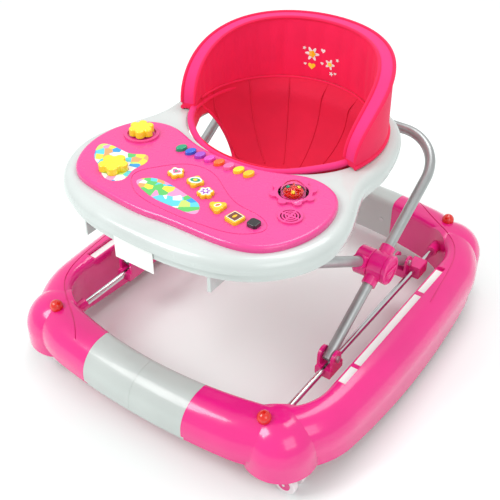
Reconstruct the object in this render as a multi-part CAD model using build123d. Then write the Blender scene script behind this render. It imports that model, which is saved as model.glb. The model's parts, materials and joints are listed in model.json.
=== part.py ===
"""Baby walker that also rocks: a ring base with rocker undersides and four twin-wheel casters, a scissor
frame that folds down, and a round seat plate with a toy tray in front.

X is side to side, -Y is the tray side, +Z is up. The origin is on the floor, in the middle of the base.
"""
from build123d import *
from math import atan2, cos, pi, sin
import os

os.makedirs("parts", exist_ok=True)

# ---- base ring -------------------------------------------------------------------------------------------
RING_X, RING_Y = 286, 327              # outer half sizes of the rail at the middle of each side
RING_BOW_X, RING_BOW_Y = 19, 35        # how far the middles stand outside the outline's own corners
RING_CORNER = 150
HOLE_X, HOLE_Y = 226, 266              # half sizes of the hole in the ring
HOLE_BOW_X, HOLE_BOW_Y = 1, 38
HOLE_CORNER = 76
RAIL_TOP = 112
OUTER_ROUND, INNER_ROUND = 42, 12      # rounding of the rail's top edges
SKIRT_TOP, SKIRT_INSET = 60, 5         # the skirt under the rail stands back by this much
ROCKER_LOW, ROCKER_RISE = 15, 36.5     # rocker underside: height at mid length, and rise at the ends
WALL = 3
SLEEVE_HALF = 89.5                     # the silver sleeves cover |x| up to here
SLEEVE_WALL = 2.8
LOBE_X, LOBE_Y, LOBE_R = 203, 252, 54  # corner lobes
LOBE_BOTTOM, LOBE_FLAT = 38, 5          # underside, and radius of the flat top
DOME_X, DOME_Y, DOME_Z, DOME_R = 189, 270, 114, 10
LEDGE_X = (222, 243)                   # inner ledge of the rail
LEDGE_Y = (-157, 150)
LEDGE_Z = 106.5
ROD_X, ROD_Z, ROD_R, ROD_HALF = 189, 80, 5, 240

# ---- casters ---------------------------------------------------------------------------------------------
CASTER_X, CASTER_Y = 216, 265          # swivel axes
CASTER_TRAIL = 13
WHEEL_R, WHEEL_WIDTH = 17, 10
AXLE_R, STEM_R = 2, 4.5
STEM_TOP, STEM_SEAT = 84, 44

# ---- folding frame ---------------------------------------------------------------------------------------
TUBE_R, TUBE_WALL = 8, 1.2
PIVOT_Z, FRONT_PIVOT_Y = 97, -108
HUB_Y, HUB_Z = 20, 177
BAR_Y = 208                            # cross bar behind the seat plate
REAR_TUBE_X, FRONT_TUBE_X = 189, 170
REAR_BEND, FRONT_BEND = 68, 50
PIVOT_PIN_R, HUB_PIN_R = 2.5, 3
HUB_R, HUB_SPLIT = 22, 179.5
RUN = 0.06                             # running clearance round pins and rods

# ---- tray and seat ---------------------------------------------------------------------------------------
PLATE_BOTTOM, PLATE_SKIRT, PLATE_TOP = 306, 319, 338
SKIRT_STEP = 5                         # the plate's skirt stands back from its lip by this much
LIP_ROUND = 15                         # rounding of the plate's outer top edge
PLATE_WALL = 3
PANEL_TOP = 347
RIB_X, RIB_Y = 103, (-280, -132)       # guide ribs under the plate for the front frame's bar
RIB_TOP = 331                          # low enough for the buttons' travel
GUIDE_LENGTH, GUIDE_Y = 94, -186       # slot in each rib that the bar slides along
CLAMP_X = 55                           # the two clamps on the rear frame's cross bar
OPENING = (148, 122)                   # half sizes of the seat opening
OPENING_Y = 40
BACK_IN, BACK_OUT = 133, 158           # radii of the backrest pad
BACK_BOTTOM, BACK_TOP = 339, 452
BACK_FRONT_Y, BACK_FRONT_RISE = 0, 3   # the wings' front tips
BACK_ARC_Y = 190                       # the top edge rises in one arc from the tips to here
BOARD_RADII = (146, 149)               # stiffener inside the backrest
SLING_BOTTOM = 222
LEG_HOLE, LEG_HOLE_AT = (56, 30), (98, 6)
LEG_HOLE_TOP = 312

# ---- play panel's pieces, by their places on it ------------------------------------------------------------
PANEL_SKIN = 3
PRINT_THICK = 0.35
KEY_Y, KEY_FIRST_X, KEY_PITCH = -106, -67, 16.4
KEY_SIZE, KEY_TURN = (8.4, 5.7), 67
KEY_PLAY, KEY_LIP = 0.3, 0.9           # gap round a key's cap, and how far its flange stands out
BUTTONS = [(-32, -160), (2, -162), (29, -175), (61, -191), (93, -198)]
BUTTON_PETALS = (5, 4, 6, 3, 0)        # 0 petals is the square button
BUTTON_R, LEAF_R = 12, 21
BUTTON_STEP, LEAF_STEP = 20, 18        # how far each is turned
FLOWER, LEAF = (-139, -107), (-111, -196)
SPINNER, GRILLE, POWER = (120, -108), (146, -154), (119, -194)
BOARD_X, BOARD_Y, BOARD_Z = (-74, 99), (-208, -100), (330.4, 332)
BOARD_PEGS = [(-68, -140), (76, -128), (-12, -130), (30, -203)]
PLAY_FRAME = [(-70, -207), (-79, -186), (-64, -159), (-37, -132), (-3, -127), (36, -147), (81, -170),
              (123, -178), (136, -193), (128, -209), (71, -230), (-5, -232), (-49, -223)]
CLOUD = [(-162, -178), (-166, -158), (-138, -155), (-113, -154), (-96, -146), (-85, -158), (-86, -186),
         (-82, -212), (-94, -222), (-132, -203)]
HALF_MOON = [(-64, -197), (-49, -184), (-18, -184), (15, -191), (42, -204), (46, -216), (24, -221),
             (-14, -221), (-47, -213)]
BATTERY_BOX = ((-38, 26), (-138, -98), (308, BOARD_Z[0]))

# worked out from the driving sizes
PANEL_UNDER = PANEL_TOP - PANEL_SKIN
KEYS = [(KEY_FIRST_X + KEY_PITCH * i, KEY_Y) for i in range(8)]
LEAN = atan2(HUB_Z - PIVOT_Z, HUB_Y - FRONT_PIVOT_Y)
REAR_PIVOT_Y = 2 * HUB_Y - FRONT_PIVOT_Y
LEG = (BAR_Y - FRONT_PIVOT_Y) / cos(LEAN)
BAR_Z = PIVOT_Z + LEG * sin(LEAN)
BOTH = (-1, 1)


def save(shape, name):
    """Write one node; a list becomes a group of separate solids."""
    if isinstance(shape, list):
        shape = Compound(children=[s for item in shape for s in item.solids()])
    export_step(shape, f"parts/{name}.step")


def box(x, y, z):
    """Box between two limits on each axis."""
    size = [b - a for a, b in (x, y, z)]
    middle = [(a + b) / 2 for a, b in (x, y, z)]
    return Pos(*middle) * Box(*size)


def rod(radius, start, end):
    """Solid cylinder from one point to another."""
    start, end = Vector(*start), Vector(*end)
    return extrude(Plane(start, z_dir=end - start) * Circle(radius), (end - start).length)


def mirrored(shape):
    return mirror(shape, about=Plane.YZ)


def turned(shape):
    return Rot(0, 0, 180) * shape


# ---- base ring -------------------------------------------------------------------------------------------
def bowed_frame(half_x, half_y, bow_x, bow_y, corner):
    """Rounded rectangle whose four sides bow outwards."""
    cx, cy = half_x - bow_x, half_y - bow_y
    corners = [(cx, -cy), (cx, cy), (-cx, cy), (-cx, -cy)]
    middles = [(half_x, 0), (0, half_y), (-half_x, 0), (0, -half_y)]
    sides = [ThreePointArc(a, m, b) for a, m, b in zip(corners, middles, corners[1:] + corners[:1])]
    face = make_face(Curve() + sides)
    return fillet(face.vertices(), corner)


def hole_outline(inset):
    return bowed_frame(HOLE_X + inset, HOLE_Y + inset, HOLE_BOW_X, HOLE_BOW_Y, HOLE_CORNER + inset)


def ring_outline(inset, skirt=0):
    outer = bowed_frame(RING_X - inset - skirt, RING_Y - inset - skirt, RING_BOW_X, RING_BOW_Y,
                        RING_CORNER - inset - skirt)
    return outer - hole_outline(inset)


def rail(inset, bottom):
    """Whole ring with rounded top edges and its skirt, shrunk by inset."""
    step = SKIRT_TOP + inset
    upper = extrude(Pos(0, 0, step) * ring_outline(inset), RAIL_TOP - inset - step)
    top = upper.faces().sort_by(Axis.Z)[-1]
    upper = fillet(top.outer_wire().edges(), OUTER_ROUND - inset)
    top = upper.faces().sort_by(Axis.Z)[-1]
    upper = fillet(top.inner_wires()[0].edges(), INNER_ROUND - inset)
    skirt = extrude(Pos(0, 0, bottom) * ring_outline(inset, SKIRT_INSET), step - bottom)
    return upper + skirt


def under_rocker(raised=0):
    """Everything below the rocker arc."""
    reach = RING_Y + 3
    end_z = ROCKER_LOW + ROCKER_RISE
    arc = ThreePointArc((-reach, end_z), (0, ROCKER_LOW), (reach, end_z))
    frame = Polyline((reach, end_z), (reach, -20), (-reach, -20), (-reach, end_z))
    face = Plane.YZ * make_face(Curve() + [arc, frame])
    return Pos(0, 0, raised) * extrude(face, RING_X + 10, both=True)


def lobe(inset, bottom, side):
    """Domed corner housing, round in plan, outside the ring's hole."""
    radius = LOBE_R - inset
    post = rod(radius, (0, 0, bottom), (0, 0, RAIL_TOP + 1 - inset))
    post = fillet(post.edges().group_by(Axis.Z)[-1], radius - LOBE_FLAT)
    return Pos(LOBE_X, side * LOBE_Y, 0) * post - extrude(hole_outline(inset), 200)


def ledge_cut(inset):
    return box((LEDGE_X[0], LEDGE_X[1] + inset), (LEDGE_Y[0] - inset, LEDGE_Y[1] + inset),
               (LEDGE_Z - inset, RAIL_TOP + 5))


def crease():
    """Thin upright wall that follows the crease line of one corner."""
    line = Spline((259, 66), (250, 140), (224, 218), (180, 254), (146, 277), (122, 300))
    return extrude(Pos(0, 0, 30) * trace(line, 1.8), 100)


def part_of(ring, x_low, x_high):
    """The stretch of the ring between two x limits."""
    return ring & box((x_low, x_high), (-RING_Y - 5, RING_Y + 5), (-5, 200))


def base_half():
    """Right-hand half of the base, open below, with spigots for the sleeves."""
    outer = part_of(rail(0, 5), SLEEVE_HALF, RING_X + 5) - under_rocker() - ledge_cut(0)
    outer += part_of(rail(WALL, 5), 1, SLEEVE_HALF + 1) - under_rocker(4)
    inner = part_of(rail(WALL, 0), SLEEVE_HALF + 20, RING_X + 5) - ledge_cut(WALL)
    inner += part_of(rail(2 * WALL, 0), -5, SLEEVE_HALF + 21)
    for side in BOTH:
        outer += lobe(0, LOBE_BOTTOM, side)
        inner += lobe(WALL, LOBE_BOTTOM - 10, side)
    solid_base = outer
    outer -= (crease() & box((100, RING_X), (50, RING_Y), (60, 200))) - Pos(0, 0, -1.6) * outer
    half = outer - inner

    for side in BOTH:
        swivel = (CASTER_X, side * CASTER_Y)
        stem_boss = rod(9.5, (*swivel, STEM_SEAT), (*swivel, RAIL_TOP)) & solid_base
        stem_bore = rod(STEM_R + RUN, (*swivel, 0), (*swivel, STEM_TOP + 2))
        rod_boss = rod(9, (ROD_X, side * 215, ROD_Z), (ROD_X, side * (ROD_HALF + 4), ROD_Z))
        rod_bore = rod(ROD_R, (ROD_X, side * 200, ROD_Z), (ROD_X, side * ROD_HALF, ROD_Z))
        half = half + stem_boss + rod_boss - stem_bore - rod_bore
        half -= rod(4, (DOME_X, side * DOME_Y, 80), (DOME_X, side * DOME_Y, 130))
    return half, solid_base


def corner_dome(solid_base, side):
    """Round red dome on a lobe, with the peg that holds it."""
    place = (DOME_X, side * DOME_Y)
    ball = Pos(*place, DOME_Z) * Sphere(DOME_R)
    return (ball - solid_base) + rod(4, (*place, 92), (*place, DOME_Z))


def base_screws():
    """Screws from inside the ring's hole, through each sleeve into the spigot behind it."""
    screws = []
    for x in (-70, -20, 20, 70):
        for side in BOTH:
            y = HOLE_Y - HOLE_BOW_Y * (x / HOLE_X) ** 2
            head = rod(4, (x, side * (y - 1), 70), (x, side * (y + 1.4), 70))
            screws.append(head + rod(1.8, (x, side * y, 70), (x, side * (y + 12), 70)))
    return screws


# ---- casters ---------------------------------------------------------------------------------------------
def caster_fork():
    """Swivel body: stem, collar and the web between the two wheels; the axle lies along Y."""
    stem = rod(STEM_R, (0, 0, STEM_SEAT - 1), (0, 0, STEM_TOP))
    collar = rod(12, (0, 0, 37), (0, 0, STEM_SEAT - 0.3))
    hub = rod(7.5, (CASTER_TRAIL, -4.5, WHEEL_R), (CASTER_TRAIL, 4.5, WHEEL_R))
    side_view = Polyline((-9, 38), (12, 38), (CASTER_TRAIL + 7.3, WHEEL_R + 2),
                         (CASTER_TRAIL - 6, WHEEL_R - 4), (-9, 38))
    web = extrude(Plane.XZ * make_face(side_view), 4.5, both=True)
    axle_bore = rod(AXLE_R + RUN, (CASTER_TRAIL, -10, WHEEL_R), (CASTER_TRAIL, 10, WHEEL_R))
    return stem + collar + hub + web - axle_bore


def caster_wheels():
    """Two wheels pressed on one axle."""
    pieces = [rod(AXLE_R, (CASTER_TRAIL, -17, WHEEL_R), (CASTER_TRAIL, 17, WHEEL_R))]
    for side in BOTH:
        inner_y, outer_y = side * 5.2, side * (5.2 + WHEEL_WIDTH)
        tyre = rod(WHEEL_R, (CASTER_TRAIL, inner_y, WHEEL_R), (CASTER_TRAIL, outer_y, WHEEL_R))
        tyre = fillet(tyre.edges().filter_by(GeomType.CIRCLE), 2)
        pieces.append(tyre - rod(AXLE_R, (CASTER_TRAIL, -20, WHEEL_R), (CASTER_TRAIL, 20, WHEEL_R)))
    return pieces


# ---- folding frame ---------------------------------------------------------------------------------------
def leg_plane(pivot_y, forwards):
    """Plane of a leg frame: local x is X, local y runs up the legs from the pivot."""
    return Plane((0, pivot_y, PIVOT_Z), x_dir=(1, 0, 0), z_dir=(0, -sin(LEAN), forwards * cos(LEAN)))


def u_tube(half_width, bend, plane):
    """Bent tube: two legs and the cross bar, with the pivot and hub holes drilled across the legs."""
    foot = -7
    line = FilletPolyline((half_width, foot), (half_width, LEG), (-half_width, LEG), (-half_width, foot),
                          radius=bend)
    start = Plane(line @ 0, z_dir=line % 0)
    tube = sweep(start * (Circle(TUBE_R) - Circle(TUBE_R - TUBE_WALL)), path=line)
    tube = plane * tube
    reach = half_width + 20
    for y, z, radius in ((plane.origin.Y, PIVOT_Z, PIVOT_PIN_R), (HUB_Y, HUB_Z, HUB_PIN_R)):
        clearance = 0 if plane.origin.Y > 0 and radius == PIVOT_PIN_R else RUN
        clearance = 0 if plane.origin.Y < 0 and radius == HUB_PIN_R else clearance
        tube -= rod(radius + clearance, (-reach, y, z), (reach, y, z))
    return tube


def front_bracket():
    """Block on the rod with two ears for the rear frame's foot."""
    y, z = FRONT_PIVOT_Y, PIVOT_Z
    block = box((ROD_X - 13, ROD_X + 13), (y - 17, y + 17), (ROD_Z - 11, ROD_Z + 4))
    block = fillet(block.edges().filter_by(Axis.Y), 2)
    ears = box((ROD_X - 13, ROD_X + 13), (y - 12, y + 12), (ROD_Z, z)) \
        + rod(12, (ROD_X - 13, y, z), (ROD_X + 13, y, z))
    slot = box((ROD_X - TUBE_R - 0.4, ROD_X + TUBE_R + 0.4), (y - 30, y + 30), (ROD_Z + 4.5, z + 30))
    pin_hole = rod(PIVOT_PIN_R, (ROD_X - 20, y, z), (ROD_X + 20, y, z))
    rod_hole = rod(ROD_R, (ROD_X, y - 30, ROD_Z), (ROD_X, y + 30, ROD_Z))
    return block + ears - slot - pin_hole - rod_hole


def rear_bracket():
    """Slider on the rod, with a fork reaching forwards to the front frame's foot."""
    x, y, z = FRONT_TUBE_X, REAR_PIVOT_Y, PIVOT_Z
    block = box((ROD_X - 12, ROD_X + 12), (y + 2, y + 29), (ROD_Z - 11, ROD_Z + 11))
    block = fillet(block.edges().filter_by(Axis.Y), 3)
    arm = box((x - 12, ROD_X - 7), (y - 11, y + 24), (ROD_Z - 9, ROD_Z + 4.5))
    ears = box((x - 12, x + 12), (y - 11, y + 11), (ROD_Z, z)) + rod(11, (x - 12, y, z), (x + 12, y, z))
    slot = box((x - TUBE_R - 0.4, x + TUBE_R + 0.4), (y - 40, y + 11.5), (ROD_Z + 5, z + 30))
    rod_hole = rod(ROD_R + RUN, (ROD_X, y - 40, ROD_Z), (ROD_X, y + 60, ROD_Z))
    pin_hole = rod(PIVOT_PIN_R + RUN, (x - 20, y, z), (x + 20, y, z))
    return block + arm + ears - slot - rod_hole - pin_hole


def pivot_screw(x, y, reach):
    """Screw through the ears: shank, round head outside and nut inside."""
    shank = rod(PIVOT_PIN_R, (x - reach - 3, y, PIVOT_Z), (x + reach + 0.2, y, PIVOT_Z))
    head = rod(5, (x + reach + 0.2, y, PIVOT_Z), (x + reach + 3, y, PIVOT_Z))
    nut = rod(4.2, (x - reach - 3.4, y, PIVOT_Z), (x - reach - 0.2, y, PIVOT_Z))
    return shank + head + nut


def hub_body(x_low, x_high, tube_x, forwards, pin_clearance):
    """One half of a crossing hub, clamped on its tube with a collar along it."""
    centre = Vector(tube_x, HUB_Y, HUB_Z)
    along = Vector(0, forwards * cos(LEAN), sin(LEAN))
    drum = rod(HUB_R, (x_low, HUB_Y, HUB_Z), (x_high, HUB_Y, HUB_Z))
    drum = chamfer(drum.edges().filter_by(GeomType.CIRCLE), 1.2)
    collar = rod(TUBE_R + 3, tuple(centre - along * 33), tuple(centre + along * 33))
    zone = box((x_low, x_high), (HUB_Y - 60, HUB_Y + 60), (HUB_Z - 60, HUB_Z + 60))
    tube_bore = rod(TUBE_R, tuple(centre - along * 60), tuple(centre + along * 60))
    pin_bore = rod(HUB_PIN_R + pin_clearance, (x_low - 5, HUB_Y, HUB_Z), (x_high + 5, HUB_Y, HUB_Z))
    return drum + (collar & zone) - tube_bore - pin_bore


def hub_outer():
    body = hub_body(HUB_SPLIT + 0.15, 204, REAR_TUBE_X, 1, 0)
    return body - rod(5 + RUN, (197.4, HUB_Y, HUB_Z), (210, HUB_Y, HUB_Z))


def hub_inner():
    return hub_body(157, HUB_SPLIT - 0.15, FRONT_TUBE_X, -1, RUN)


def hub_pin():
    return rod(HUB_PIN_R, (156, HUB_Y, HUB_Z), (197, HUB_Y, HUB_Z)) \
        + rod(6, (154, HUB_Y, HUB_Z), (156.8, HUB_Y, HUB_Z))


def hub_knob():
    """Round lock knob with a raised rim and a low grip bar."""
    disc = rod(22.5, (204.3, HUB_Y, HUB_Z), (210.5, HUB_Y, HUB_Z))
    disc = fillet(disc.edges().group_by(Axis.X)[-1], 2)
    recess = rod(17.5, (209.3, HUB_Y, HUB_Z), (215, HUB_Y, HUB_Z))
    grip = box((208, 211.5), (HUB_Y - 15, HUB_Y + 15), (HUB_Z - 3, HUB_Z + 3))
    stem = rod(5, (197.6, HUB_Y, HUB_Z), (205, HUB_Y, HUB_Z))
    return disc - recess + fillet(grip.edges(), 1) + stem


# ---- tray ------------------------------------------------------------------------------------------------
def smooth_outline(loop, inset=0):
    """Smooth closed outline through the points, moved inwards by inset if they run counter-clockwise."""
    moved = []
    for before, (x, y), after in zip(loop[-1:] + loop[:-1], loop, loop[1:] + loop[:1]):
        chord = Vector(*after) - Vector(*before)
        moved.append((x - inset * chord.Y / chord.length, y + inset * chord.X / chord.length))
    return make_face(Curve() + Spline(*moved, periodic=True))


def symmetric_outline(points, inset):
    """The same from the right-hand points alone, front to rear."""
    return smooth_outline(points + [(-x, y) for x, y in reversed(points[1:-1])], inset)


def plate_outline(inset=0):
    return symmetric_outline([(0, -284), (80, -278), (150, -252), (196, -203), (212, -150), (207, -105),
                              (190, -58), (178, -16), (179, 30), (172, 78), (155, 124), (118, 168),
                              (70, 191), (0, 199)], inset)


def panel_outline(inset=0):
    return symmetric_outline([(0, -247), (92, -243), (152, -226), (182, -182), (189, -132), (168, -78),
                              (118, -61), (76, -75), (38, -85), (0, -87)], inset)


def opening_outline(grown=0):
    return Pos(0, OPENING_Y) * Ellipse(OPENING[0] + grown, OPENING[1] + grown)


def plate(inset, bottom):
    """The plate with its rounded lip; the lower skirt stands back a little."""
    step = PLATE_SKIRT + inset
    upper = extrude(Pos(0, 0, step) * plate_outline(inset), PLATE_TOP - inset - step)
    upper = fillet(upper.edges().group_by(Axis.Z)[-1], LIP_ROUND - inset)
    skirt = extrude(Pos(0, 0, bottom) * plate_outline(inset + SKIRT_STEP), step - bottom)
    return upper + skirt - extrude(Pos(0, 0, bottom - 5) * opening_outline(inset), 200)


def tray_shell():
    """White plate, open below, with the rear clamps and the guide ribs for the front frame's bar."""
    shell = plate(0, PLATE_BOTTOM) - plate(PLATE_WALL, PLATE_BOTTOM - 10)
    shell -= extrude(Pos(0, 0, PLATE_TOP - 10) * panel_outline(4.4), 30)
    inside = plate(1, BAR_Z - 20)
    for side in BOTH:
        rib = box((side * RIB_X - 2, side * RIB_X + 2), RIB_Y, (BAR_Z - 13, RIB_TOP)) & inside
        slot = SlotOverall(GUIDE_LENGTH, 2 * TUBE_R + 0.8)
        rib -= extrude(Plane((side * RIB_X - 5, GUIDE_Y, BAR_Z), x_dir=(0, 1, 0), z_dir=(1, 0, 0)) * slot, 10)
        shell += rib
        across = (side * CLAMP_X - 14, side * CLAMP_X + 14)
        shell += box(across, (186, BAR_Y), (BAR_Z - 12, BAR_Z + 12))
        shell += box(across, (186, 195), (BAR_Z, PLATE_TOP - LIP_ROUND))
        shell += rod(12, (across[0], BAR_Y, BAR_Z), (across[1], BAR_Y, BAR_Z))
        shell -= rod(TUBE_R + RUN, (across[0] - 5, BAR_Y, BAR_Z), (across[1] + 5, BAR_Y, BAR_Z))
    shell -= backrest_board(0.3)
    return shell


def petals(count, radius):
    """Scalloped round outline, or a rounded square when there are no petals."""
    if count == 0:
        return RectangleRounded(1.7 * radius, 1.7 * radius, 0.3 * radius)
    shape = Circle(0.72 * radius)
    reach = radius * 0.62
    for i in range(count):
        angle = 2 * pi * i / count
        shape += Pos(reach * cos(angle), reach * sin(angle)) * Circle(radius * (0.46 - 0.02 * count))
    return shape


def press_piece(outline, flange, place, top, turn=0):
    """A button: its cap through the panel, and the flange that keeps it in."""
    cap = extrude(Pos(*place, PANEL_UNDER - 8) * Rot(0, 0, turn) * outline, top - PANEL_UNDER + 8)
    cap = fillet(cap.edges().group_by(Axis.Z)[-1], 1.6)
    return cap + extrude(Pos(*place, PANEL_UNDER - 4.5) * Rot(0, 0, turn) * flange, 4.4)


def key_outline(grown):
    return Ellipse(KEY_SIZE[0] + grown, KEY_SIZE[1] + grown)


def key(place):
    return press_piece(key_outline(0), key_outline(KEY_LIP), place, PANEL_TOP + 5, KEY_TURN)


def tune_button(index):
    outline = petals(BUTTON_PETALS[index], BUTTON_R)
    return press_piece(outline, Circle(BUTTON_R + 1.5), BUTTONS[index], PANEL_TOP + 5, BUTTON_STEP * index)


def leaf_button():
    return press_piece(petals(5, LEAF_R), Circle(LEAF_R + 1.5), LEAF, PANEL_TOP + 10, LEAF_STEP)


def flower_knob():
    """Turning flower in its raised ring."""
    cap = extrude(Pos(*FLOWER, PANEL_TOP + 3.3) * petals(6, 19), 11)
    cap = fillet(cap.edges().group_by(Axis.Z)[-1], 3)
    return cap + rod(4, (*FLOWER, PANEL_UNDER - 5), (*FLOWER, PANEL_TOP + 4)) \
        + rod(7, (*FLOWER, PANEL_UNDER - 5), (*FLOWER, PANEL_UNDER - 0.2))


def power_knob():
    """Rounded-square rotary switch."""
    cap = extrude(Pos(*POWER, PANEL_TOP + 0.3) * RectangleRounded(15, 15, 4), 5)
    cap = fillet(cap.edges().group_by(Axis.Z)[-1], 1.2)
    return cap + rod(3, (*POWER, PANEL_UNDER - 8), (*POWER, PANEL_TOP + 1))


def spinner_dome():
    """Clear half-round window on a flange."""
    outer = Sphere(18) & Pos(0, 0, 20) * Box(60, 60, 40)
    inner = Sphere(16.4) & Pos(0, 0, 19) * Box(60, 60, 42)
    flange = extrude(Circle(20) - Circle(16.4), 1.5)
    return Pos(*SPINNER, PANEL_TOP) * (outer + flange - inner)


def spinner_core():
    """Red cup with three vanes that turns under the window."""
    cone = Polyline((0, 4), (7, 4), (3, 10), (0, 10), (0, 4))
    drum = extrude(Circle(13), 4) + revolve(Plane.XZ * make_face(cone), Axis.Z)
    for i in range(3):
        drum += Rot(0, 0, 120 * i) * Pos(6.5, 0, 5.5) * Box(9, 2.4, 7)
    core = Pos(*SPINNER, PANEL_TOP + 0.6) * drum
    return core + rod(2, (*SPINNER, PANEL_UNDER - 6), (*SPINNER, PANEL_TOP + 1))


def speaker_grille():
    """Round grille with three ring slots."""
    disc = extrude(Circle(16), 2.4)
    for radius in (4, 8, 12):
        ring = extrude(Circle(radius + 0.9) - Circle(radius - 0.9), 10, both=True)
        bars = Box(40, 2.4, 20) + Box(2.4, 40, 20)
        disc -= ring - bars
    return Pos(*GRILLE, PANEL_TOP) * disc


def knob_ring():
    """Raised ring round the flower knob."""
    return extrude(Pos(*FLOWER, PANEL_UNDER + 1) * (Circle(25) - Circle(20.5)), 5)


def spinner_ring():
    """Petal-edged raised ring round the spinner's window."""
    outline = Circle(25)
    for i in range(8):
        angle = 2 * pi * i / 8
        outline += Pos(25 * cos(angle), 25 * sin(angle)) * Circle(6)
    return extrude(Pos(*SPINNER, PANEL_UNDER + 1) * (outline - Circle(20.2)), 5)


def button_holes(play, bottom, height):
    """Prisms of the shaped buttons' outlines, a little larger than their caps."""
    shapes = [(place, BUTTON_STEP * index, petals(BUTTON_PETALS[index], BUTTON_R))
              for index, place in enumerate(BUTTONS)]
    shapes.append((LEAF, LEAF_STEP, petals(5, LEAF_R)))
    return [extrude(Pos(*place, bottom) * Rot(0, 0, turn) * offset(outline, play), height)
            for place, turn, outline in shapes]


def tray_panel():
    """Play panel: a shallow cap with holes for everything mounted in it."""
    cap = extrude(Pos(0, 0, PLATE_TOP) * panel_outline(), PANEL_TOP - PLATE_TOP)
    cap = fillet(cap.edges().group_by(Axis.Z)[-1], 5)
    cap -= extrude(Pos(0, 0, PLATE_TOP - 5) * panel_outline(3.5), PANEL_UNDER - PLATE_TOP + 5)
    for place in KEYS:
        hole = Rot(0, 0, KEY_TURN) * key_outline(KEY_PLAY)
        cap -= extrude(Pos(*place, PANEL_UNDER - 5) * hole, 20)
    cap -= button_holes(0.35, PANEL_UNDER - 5, 20)
    for centre, radius in ((FLOWER, 4), (POWER, 3), (SPINNER, 2)):
        cap -= rod(radius + RUN, (*centre, PANEL_UNDER - 5), (*centre, PANEL_TOP + 10))
    cap -= rod(13, (*GRILLE, PANEL_UNDER - 5), (*GRILLE, PANEL_TOP + 10))
    groove = smooth_outline(PLAY_FRAME, 0.7) - smooth_outline(PLAY_FRAME, -0.7)
    cap -= extrude(Pos(0, 0, PANEL_TOP - 0.7) * groove, 2)
    for x, y in BOARD_PEGS:
        cap += rod(2.5, (x, y, BOARD_Z[1]), (x, y, PANEL_UNDER + 1))
    return cap + knob_ring() + spinner_ring()


def panel_print():
    """Two printed sheets laid on the panel: one round the leaf button, one beside the tune buttons."""
    on_top = Pos(0, 0, PANEL_TOP)
    cloud = extrude(on_top * smooth_outline(CLOUD), PRINT_THICK)
    half_moon = extrude(on_top * smooth_outline(HALF_MOON), PRINT_THICK)
    return [cloud - button_holes(0.6, PANEL_TOP - 1, 5), half_moon]


def circuit_board():
    board = box(BOARD_X, BOARD_Y, BOARD_Z)
    for place in KEYS + BUTTONS:
        board += rod(3, (*place, BOARD_Z[1] - 0.1), (*place, BOARD_Z[1] + 0.8))
    return board


def speaker_driver():
    cone = rod(14, (*GRILLE, PANEL_UNDER - 4), (*GRILLE, PANEL_UNDER))
    return cone + rod(8, (*GRILLE, PANEL_UNDER - 12), (*GRILLE, PANEL_UNDER - 4))


def battery_box():
    """Open box under the circuit board, closed by its door from below."""
    (x0, x1), (y0, y1), (z0, z1) = BATTERY_BOX
    return box(*BATTERY_BOX) - box((x0 + 2, x1 - 2), (y0 + 2, y1 - 2), (z0 - 1, z1 - 2))


def battery_door():
    (x0, x1), (y0, y1), (z0, _) = BATTERY_BOX
    return box((x0 + 2.3, x1 - 2.3), (y0 + 2.3, y1 - 2.3), (z0, z0 + 2))


def batteries():
    (x0, _), (y0, y1), (z0, _) = BATTERY_BOX
    middle = (y0 + y1) / 2
    return [rod(7.2, (x0 + 6, middle + side * 8.2, z0 + 10.5), (x0 + 56, middle + side * 8.2, z0 + 10.5))
            for side in BOTH]


# ---- seat ------------------------------------------------------------------------------------------------
def around_back(inner, outer, low, high):
    """Upright band round the rear of the opening."""
    return extrude(Pos(0, OPENING_Y, low) * (Circle(outer) - Circle(inner)), high - low)


def back_side_view():
    """Side outline of the backrest: its front edges lean back in one arc to the top."""
    start_z = BACK_BOTTOM + BACK_FRONT_RISE
    lean = EllipticalCenterArc((BACK_ARC_Y, start_z), BACK_ARC_Y - BACK_FRONT_Y, BACK_TOP - start_z,
                               start_angle=90, arc_size=90)
    behind = OPENING_Y + BACK_OUT + 20
    frame = Polyline((BACK_FRONT_Y, start_z), (BACK_FRONT_Y, BACK_BOTTOM), (behind, BACK_BOTTOM),
                     (behind, BACK_TOP), (BACK_ARC_Y, BACK_TOP))
    return extrude(Plane.YZ * make_face(Curve() + [lean, frame]), 200, both=True)


def rear_zone(half_width, y_from):
    """Everything round the backrest behind a y limit."""
    return box((-half_width, half_width), (y_from, 220), (300, 500))


def backrest_board(grown=0):
    """Thin curved stiffener that runs up inside the pad, with its foot in a slot of the plate."""
    inner, outer = BOARD_RADII[0] - grown, BOARD_RADII[1] + grown
    panel = around_back(inner, outer, PLATE_TOP + 1, BACK_TOP - 40) & rear_zone(200, 70)
    foot = around_back(inner, outer, PLATE_TOP - 12 - grown, PLATE_TOP + 2)
    return panel + (foot & rear_zone(90 + grown, 100))


def backrest_pad():
    pad = around_back(BACK_IN, BACK_OUT, BACK_BOTTOM, BACK_TOP) & back_side_view()
    pocket = around_back(BOARD_RADII[0] - 0.2, BOARD_RADII[1] + 0.2, PLATE_TOP - 12, BACK_TOP - 39)
    return pad - (pocket & rear_zone(200, 69))


def bowl(shrink):
    """Half ellipsoid under the opening."""
    size = (OPENING[0] - 6 - shrink, OPENING[1] - 6 - shrink, PLATE_TOP - SLING_BOTTOM - shrink)
    ball = Pos(0, OPENING_Y, PLATE_TOP) * scale(Sphere(1), by=size)
    return ball & box((-200, 200), (-200, 250), (0, PLATE_TOP))


def seat_sling():
    """Fabric bowl with two leg openings."""
    sling = bowl(0) - bowl(5)
    for side in BOTH:
        hole = Rot(0, 0, 90 - side * 30) * extrude(Ellipse(*LEG_HOLE), LEG_HOLE_TOP)
        sling -= Pos(side * LEG_HOLE_AT[0], LEG_HOLE_AT[1], 0) * hole
    return sling


def hang_tag():
    """Blank card that hangs in front of the tray's skirt, under its lip."""
    return box((-38, 26), (-280.6, -279.8), (283, 318.5))


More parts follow.
